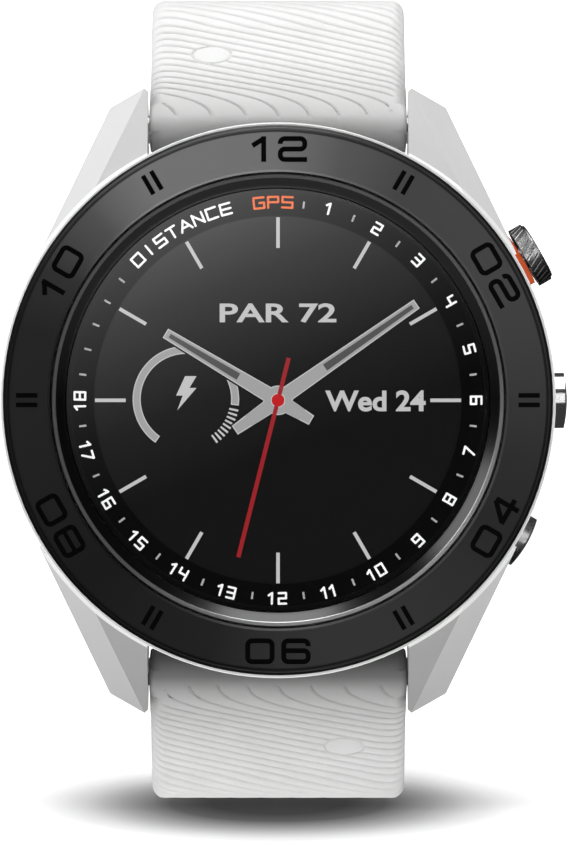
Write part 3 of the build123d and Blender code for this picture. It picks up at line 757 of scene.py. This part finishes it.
def walk(runs, distance):
    """The reach, height and heading on the strap's centre line, a distance along it from its bar."""
    reach, height, heading = BAR_REACH, BAR_HEIGHT, SLOPE
    for length, turn in runs:
        step = min(length, distance)
        cosine, sine = turned(heading, 1.0)
        heading += turn * step / length
        if turn:
            radius = length / math.radians(turn)
            new_cosine, new_sine = turned(heading, 1.0)
            reach += radius * (new_sine - sine)
            height += radius * (new_cosine - cosine)
        else:
            reach += step * cosine
            height -= step * sine
        distance -= step
    return reach, height, math.radians(heading)


def across_phase(x, distance):
    """How many ribs a line across the strap has crossed: level at the left edge, steepest at the right."""
    bend = 1.6
    total = ACROSS_SLOPE * x + 0.003 * x * x
    left = max(0.0, LEFT_BEND - x)
    turned_back = ACROSS_SLOPE * (min(left, bend) ** 2 / (2 * bend) + max(0.0, left - bend))
    total += turned_back * smooth(1.5, 5.0, distance)
    return total + 0.12 * max(0.0, x - RIGHT_BEND) ** 2


def along_rate(distance):
    """Ribs per millimetre along the strap: few near the case, where the ribs dive, then an even pitch."""
    return DIVE_RATE + (EVEN_RATE - DIVE_RATE) * smooth(DIVE_START, DIVE_END, distance)


def along_phase(distance):
    """The rib count that along_rate adds up to."""
    span = DIVE_END - DIVE_START
    t = min(1.0, max(0.0, (distance - DIVE_START) / span))
    extra = span * (t ** 3 - t ** 4 / 2) + max(0.0, distance - DIVE_END)
    return DIVE_RATE * distance + (EVEN_RATE - DIVE_RATE) * extra


def groove(x, distance):
    """How deep the ribbed face lies below the smooth one, in millimetres."""
    pad_x, pad_s, pad_long, pad_wide = PAD
    oval = math.hypot((x - pad_x) / pad_long, (distance - pad_s) / pad_wide)
    if oval < 1.0:
        return 0.12 * smooth(0.86, 0.98, oval) - 0.02
    phase = across_phase(x, distance) + along_phase(distance)
    rate = math.hypot(ACROSS_SLOPE, along_rate(distance))
    t = phase - math.floor(phase)
    above = t / rate
    below = (1 - t) / rate
    valley = max(0.0, 1 - above / GENTLE_SIDE, 1 - below / STEEP_SIDE)
    crown = CROWN * (1 - math.cos(2 * math.pi * t)) / 2
    fade = smooth(-0.9, 0.5, distance) * (1 - smooth(GROOVE_END - 7, GROOVE_END - 0.5, distance))
    fade *= 1 - smooth(9.2, 10.3, abs(x)) * (1 - smooth(1.2, 4.0, distance))
    return GROOVE_DEPTH * (valley - crown) * fade


def tip_share(left):
    """How much of its thickness the free tip keeps, this far from its end."""
    return math.sqrt(max(0.0, 1 - (1 - left / TIP_LENGTH) ** 2)) * 0.75 + 0.25


class StrapHalf:
    """One strap half: its run, its free end and its cross-sections."""

    def __init__(self, runs, free_end, swell, side):
        self.runs = runs
        self.free_end = free_end
        self.swell = swell           # how much the outer face stands out on the first bend
        self.side = side             # 1 at 12 o'clock; -1 at 6 o'clock, where all is turned half round
        self.length = sum(length for length, _ in runs)

    def half_width(self, distance):
        _, height, _ = walk(self.runs, distance)
        width = END_HALF_WIDTH + (HALF_WIDTH - END_HALF_WIDTH) * smooth(3.6, 4.6, distance)
        taper = min(1.0, max(0.0, (-8 - height) / 20))
        width -= (HALF_WIDTH - TAIL_HALF_WIDTH) * taper
        inner_corner = min(1.0, max(0.0, (-1.35 - distance) / 0.7))
        width -= 0.7 * (1 - math.sqrt(1 - inner_corner ** 2))
        if self.free_end == "tip":
            round_off = min(1.0, max(0.0, (distance - (self.length - TIP_ROUND)) / TIP_ROUND))
            width -= TIP_ROUND * (1 - math.sqrt(1 - round_off ** 2))
        return width

    def top(self, distance):
        if distance < 0:
            return math.sqrt(max(0.0, BARREL ** 2 - distance ** 2))
        left = self.length - distance
        if self.free_end == "loop" and left < LOOP_START:
            return math.sqrt(max(0.0, LOOP_RADIUS ** 2 - left ** 2))
        height = BARREL + (STRAP_THICK / 2 - BARREL) * smooth(0, 5.5, distance)
        height += self.swell * smooth(8, 13, distance) * (1 - smooth(14, 20, distance))
        if self.free_end == "tip" and left < TIP_LENGTH:
            height *= tip_share(left)
        return height

    def bottom(self, x, distance):
        """The inner face, with the mouth for the lug bar and the pocket for the hook and latch cut in."""
        low = -BARREL + (BARREL - STRAP_THICK / 2) * smooth(7.9, 8.9, distance)
        left = self.length - distance
        if distance < 0 or (self.free_end == "loop" and left < LOOP_START):
            low = -self.top(distance)
        if self.free_end == "tip" and left < TIP_LENGTH:
            low *= tip_share(left)
        mouth = MOUTH_WIDE if abs(x) <= MOUTH_HALF_WIDTH else MOUTH_NARROW
        if abs(distance) < mouth:
            return math.sqrt(mouth ** 2 - distance ** 2) - 0.02
        if abs(x) < POCKET_HALF_WIDTH and distance < POCKET_END:
            return max(low, POCKET_FLOOR)
        return low

    def stations(self):
        """Distances along the strap where sections are drawn; doubled at each step in the inner face."""
        marks = [-BARREL * math.cos(math.radians(angle)) for angle in range(3, 90, 6)]
        for edge in (-MOUTH_WIDE, -MOUTH_NARROW, MOUTH_NARROW, MOUTH_WIDE, POCKET_END):
            marks += [edge - 0.004, edge + 0.004]
        count = int(GROOVE_END / GROOVE_STEP)
        marks += [GROOVE_STEP * step for step in range(count + 1)]
        marks += [0.5 * step for step in range(int(2 * GROOVE_END) + 1, int(2 * self.length - 14))]
        end = self.length + (LOOP_RADIUS - 0.02 if self.free_end == "loop" else 0.0)
        tail = end - marks[-1]
        marks += [marks[-1] + tail * math.sin(math.radians(angle)) for angle in range(3, 91, 3)]
        return sorted(set(round(mark, 5) for mark in marks))

    def section(self, distance):
        """The points (x, height above the centre line) round one section, anticlockwise from the front."""
        half = self.half_width(distance)
        top = self.top(distance)
        side_low = self.bottom(half, distance)
        room = max(0.02, top - side_low)
        outer = min(1.15, room * 0.48)
        inner = min(0.55, room * 0.3)
        points = []
        flat = half - outer
        for step in range(OUTER_COLUMNS + 1):
            x = -flat + 2 * flat * step / OUTER_COLUMNS
            points.append((x, top - groove(self.side * x, distance)))
        points += self.corner(1, flat, top - outer, outer, distance)
        for step in range(1, 4):
            x, y = turned(30 * step, inner)
            points.append((half - inner + x, side_low + inner - y))
        for x in INNER_COLUMNS:
            limit = half - inner - 0.01
            place = max(-limit, min(limit, x))
            points.append((place, self.bottom(place, distance)))
        for step in range(3, 0, -1):
            x, y = turned(30 * step, inner)
            points.append((-half + inner - x, side_low + inner - y))
        return points + self.corner(-1, flat, top - outer, outer, distance)[::-1]

    def corner(self, end, flat, base, radius, distance):
        """The rounded outer corner at one side, with the ribs running on over it."""
        points = []
        for step in range(1, CORNER_STEPS + 1):
            turn = math.pi / 2 * step / CORNER_STEPS
            x = end * (flat + radius * turn)
            reach = radius - groove(self.side * x, distance) * (0.25 + 0.75 * math.cos(turn))
            points.append((end * (flat + reach * math.sin(turn)), base + reach * math.cos(turn)))
        return points

    def mesh(self, name, node, body):
        vertices = []
        for distance in self.stations():
            reach, height, heading = walk(self.runs, distance)
            for x, lift in self.section(distance):
                y = reach + lift * math.sin(heading)
                vertices.append(bench(x, self.side * y, height + lift * math.cos(heading)))
        count = len(self.section(1.0))
        rows = len(vertices) // count
        faces = []
        for row in range(rows - 1):
            for column in range(count):
                after = (column + 1) % count
                quad = (row * count + column, row * count + after,
                        (row + 1) * count + after, (row + 1) * count + column)
                faces.append(quad if self.side > 0 else quad[::-1])
        first = tuple(range(count))
        last = tuple(range((rows - 1) * count, rows * count))
        faces.append(first[::-1] if self.side > 0 else first)
        faces.append(last if self.side > 0 else last[::-1])
        obj = add_mesh(name, vertices, faces, "white_silicone", body, 40)
        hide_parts(node)
        return obj


OUTER_COLUMNS = 160
CORNER_STEPS = 9
RIGHT_COLUMNS = (10.2, 8.6, MOUTH_HALF_WIDTH + 0.01, MOUTH_HALF_WIDTH - 0.01,
                 POCKET_HALF_WIDTH + 0.01, POCKET_HALF_WIDTH - 0.01, 3.0, 1.5)
INNER_COLUMNS = RIGHT_COLUMNS + (0.0,) + tuple(-x for x in reversed(RIGHT_COLUMNS))


def strap_matrix(runs, distance, side):
    """Local X along the strap, local Y out of its outer face, at a distance along it, in row metres."""
    reach, height, heading = walk(runs, distance)
    origin = bench(0, side * reach, height)
    along = (bench(0, side * (reach + math.cos(heading)), height - math.sin(heading)) - origin).normalized()
    out = (bench(0, side * (reach + math.sin(heading)), height + math.cos(heading)) - origin).normalized()
    across = along.cross(out)
    matrix = Matrix((along, out, across)).transposed().to_4x4()
    matrix.translation = origin
    return matrix


def cut(obj, cutters):
    """Take closed cutter meshes out of a piece."""
    for vertices, faces in cutters:
        mesh = bpy.data.meshes.new("cutter")
        mesh.from_pydata(vertices, [], faces)
        tool = bpy.data.objects.new("cutter", mesh)
        bpy.context.scene.collection.objects.link(tool)
        modifier = obj.modifiers.new("cut", "BOOLEAN")
        modifier.operation = "DIFFERENCE"
        modifier.solver = "MANIFOLD"
        modifier.object = tool
        bpy.context.view_layer.update()
        graph = bpy.context.evaluated_depsgraph_get()
        result = bpy.data.meshes.new_from_object(obj.evaluated_get(graph))
        obj.modifiers.clear()
        old = obj.data
        obj.data = result
        result.name = old.name
        bpy.data.meshes.remove(old)
        bpy.data.objects.remove(tool)
        bpy.data.meshes.remove(mesh)
    obj.data.shade_smooth()
    obj.data.set_sharp_from_angle(angle=math.radians(40))


def rounded_box(half_x, half_y, radius, steps):
    """The points of a rounded rectangle, anticlockwise from its right side."""
    points = []
    for corner, (sign_x, sign_y) in enumerate(((1, 1), (-1, 1), (-1, -1), (1, -1))):
        for step in range(steps + 1):
            x, y = turned(90 * corner + 90 * step / steps, radius)
            points.append((sign_x * (half_x - radius) + x, sign_y * (half_y - radius) + y))
    return points


def slot_cutter(matrix, half_long, half_wide):
    """A round-ended slot right through the strap, with its long side along the strap."""
    depth = 4
    rim = rounded_box(half_long, half_wide, half_wide * 0.85, 6)
    count = len(rim)
    vertices = [matrix @ Vector((x * MM, depth * MM, z * MM)) for x, z in rim]
    vertices += [matrix @ Vector((x * MM, -depth * MM, z * MM)) for x, z in rim]
    faces = [tuple(range(count))[::-1], tuple(range(count, 2 * count))]
    for step in range(count):
        after = (step + 1) % count
        faces.append((step, after, count + after, count + step))
    return vertices, faces


def straps():
    upper = StrapHalf(SHORT_RUNS, "loop", 0.27, 1)
    lower = StrapHalf(LONG_RUNS, "tip", 0.0, -1)
    upper_obj = upper.mesh("upper_strap_ribbed", "strap_upper", "upper_strap")
    lower_obj = lower.mesh("lower_strap_ribbed", "strap_lower", "lower_strap")
    cut(upper_obj, [slot_cutter(strap_matrix(SHORT_RUNS, upper.length - 1.5, 1), 5.5, 1.4)])
    holes = []
    for step in range(10):
        holes.append(slot_cutter(strap_matrix(LONG_RUNS, 52.0 + 6.0 * step, -1), 1.5, 1.0))
    cut(lower_obj, holes)


def keeper(name, body, place):
    """A soft loop with rolled edges round the strap; place is measured along the strap from its end."""
    matrix = strap_matrix(SHORT_RUNS, sum(length for length, _ in SHORT_RUNS), 1)
    low, high = -STRAP_THICK / 2 - 0.3, STRAP_THICK * 1.5 + 0.4
    half_width, half_length, wall, corner, roll = 10.35, 3.0, 1.4, 0.9, 0.5
    section = rounded_box(wall / 2, half_length, roll, 4)
    rings = []
    for out, _ in section:
        grow = wall / 2 + out
        rings.append(rounded_box(half_width + grow, (high - low) / 2 + grow, corner + grow, 8))
    vertices = []
    for path in zip(*rings):
        for (_, along), (x, y) in zip(section, path):
            local = Vector(((place + along) * MM, (y + (high + low) / 2) * MM, x * MM))
            vertices.append(matrix @ local)
    count = len(section)
    faces = []
    for row in range(len(rings[0])):
        following = (row + 1) % len(rings[0])
        for column in range(count):
            after = (column + 1) % count
            faces.append((row * count + column, row * count + after,
                          following * count + after, following * count + column))
    obj = add_mesh(name, vertices, faces, "white_silicone", body, 40)
    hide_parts({"inner_keeper": "keeper_inner", "outer_keeper": "keeper_outer"}[body])


# ---------------- stage, light and camera
def area_light(name, place, target, wide, tall, power):
    data = bpy.data.lights.new(name, "AREA")
    data.energy = power
    data.shape = "RECTANGLE"
    data.size = wide
    data.size_y = tall
    light = bpy.data.objects.new(name, data)
    light.location = place
    light.rotation_euler = (Vector(target) - Vector(place)).to_track_quat("-Z", "Y").to_euler()
    bpy.context.scene.collection.objects.link(light)


def floor_finish():
    """White, with a glow that rises away from the watch so that only the contact shadow shows."""
    finish = Finish("floor", (0.86, 0.86, 0.86, 1), 0.7, Emission_Color=(1, 1, 1, 1))
    reach = finish.vector("LENGTH", finish.coords.outputs["Object"])
    finish.link(finish.span(reach, 0.53, 1.0, 0.02, 0.30), "Emission Strength")
    return finish


def stage_plane(name, corners, finish):
    mesh = bpy.data.meshes.new(name)
    mesh.from_pydata(corners, [], [(0, 1, 2, 3)])
    obj = bpy.data.objects.new(name, mesh)
    bpy.context.scene.collection.objects.link(obj)
    mesh.materials.append(finish.material)
    return obj


def soft_shadow():
    """A soft dark pool on the floor under the watch, seen only by the camera."""
    middle = -0.0225
    finish = Finish("shadow", (0.0, 0.0, 0.0, 1), 1.0, Specular_IOR_Level=0.0)
    mapping = finish.tree.nodes.new("ShaderNodeMapping")
    mapping.vector_type = "TEXTURE"
    mapping.inputs["Location"].default_value = (0.0, middle, 0.0)
    mapping.inputs["Scale"].default_value = (0.0235, 0.056, 1.0)
    finish.tree.links.new(finish.coords.outputs["Object"], mapping.inputs["Vector"])
    fades = ((0.25, 0.955), (0.39, 0.91), (0.49, 0.78), (0.57, 0.66), (0.64, 0.52), (0.71, 0.37),
             (0.85, 0.14), (1.0, 0.0))
    reach = finish.vector("LENGTH", mapping.outputs["Vector"])
    finish.link(finish.ramp(reach, [(place, (dark, dark, dark, 1)) for place, dark in fades]), "Alpha")
    half_x, half_y, lift = 0.026, 0.062, 0.0001
    near, far = middle - half_y, middle + half_y
    corners = [(-half_x, near, lift), (half_x, near, lift), (half_x, far, lift), (-half_x, far, lift)]
    pool = stage_plane("shadow", corners, finish)
    pool.visible_diffuse = False
    pool.visible_glossy = False
    pool.visible_transmission = False
    pool.visible_shadow = False


def studio():
    far, near, wide = 1.6, -1.6, 2.4
    corners = [(-wide, near, 0), (wide, near, 0), (wide, far, 0), (-wide, far, 0)]
    floor = stage_plane("floor", corners, floor_finish())
    floor.visible_glossy = False
    backdrop = Finish("backdrop", (0.9, 0.9, 0.9, 1), 0.8,
                      Emission_Color=(1, 1, 1, 1), Emission_Strength=1.1)
    corners = [(-wide, far, 0), (wide, far, 0), (wide, far, 2.4), (-wide, far, 2.4)]
    wall = stage_plane("backdrop", corners, backdrop)
    wall.visible_glossy = False
    wall.visible_diffuse = False
    soft_shadow()
    world = bpy.data.worlds.new("studio")
    bpy.context.scene.world = world
    world.use_nodes = True
    background = world.node_tree.nodes["Background"]
    background.inputs["Color"].default_value = (1, 1, 1, 1)
    background.inputs["Strength"].default_value = 0.05
    middle = (0, -0.02, DIAL_Z)
    area_light("key_top", (0.0, -0.12, 0.80), middle, 0.42, 0.9, 5.7)
    area_light("upper_left", (-0.52, -0.16, 0.335), middle, 0.30, 0.30, 0.9)
    area_light("front_left", (-0.45, -0.75, 0.30), middle, 0.35, 0.35, 0.6)
    area_light("front_right", (0.45, -0.75, 0.30), middle, 0.35, 0.35, 0.5)
    area_light("button_strip", (0.082, -1.0, 0.22), (0.024, 0.0, DIAL_Z), 0.045, 0.7, 0.30)
    bpy.context.scene.view_settings.view_transform = "Standard"


def camera():
    """Straight on to the dial, 450 mm from the bezel, framed a little right of and below its centre."""
    distance = 0.450
    frame_height = 0.07117
    data = bpy.data.cameras.new("camera")
    data.sensor_width = 36.0
    data.lens = data.sensor_width * distance / frame_height
    data.clip_start = 0.01
    data.clip_end = 20.0
    obj = bpy.data.objects.new("camera", data)
    obj.location = (DIAL_X + 0.55 * MM, FACE_Y - distance, DIAL_Z - 1.88 * MM)
    obj.rotation_euler = (math.radians(90), 0, 0)
    bpy.context.scene.collection.objects.link(obj)
    bpy.context.scene.camera = obj


ring_print()
display()
straps()
keeper("inner_keeper_loop", "inner_keeper", -30.0)
keeper("outer_keeper_loop", "outer_keeper", -17.5)
studio()
camera()
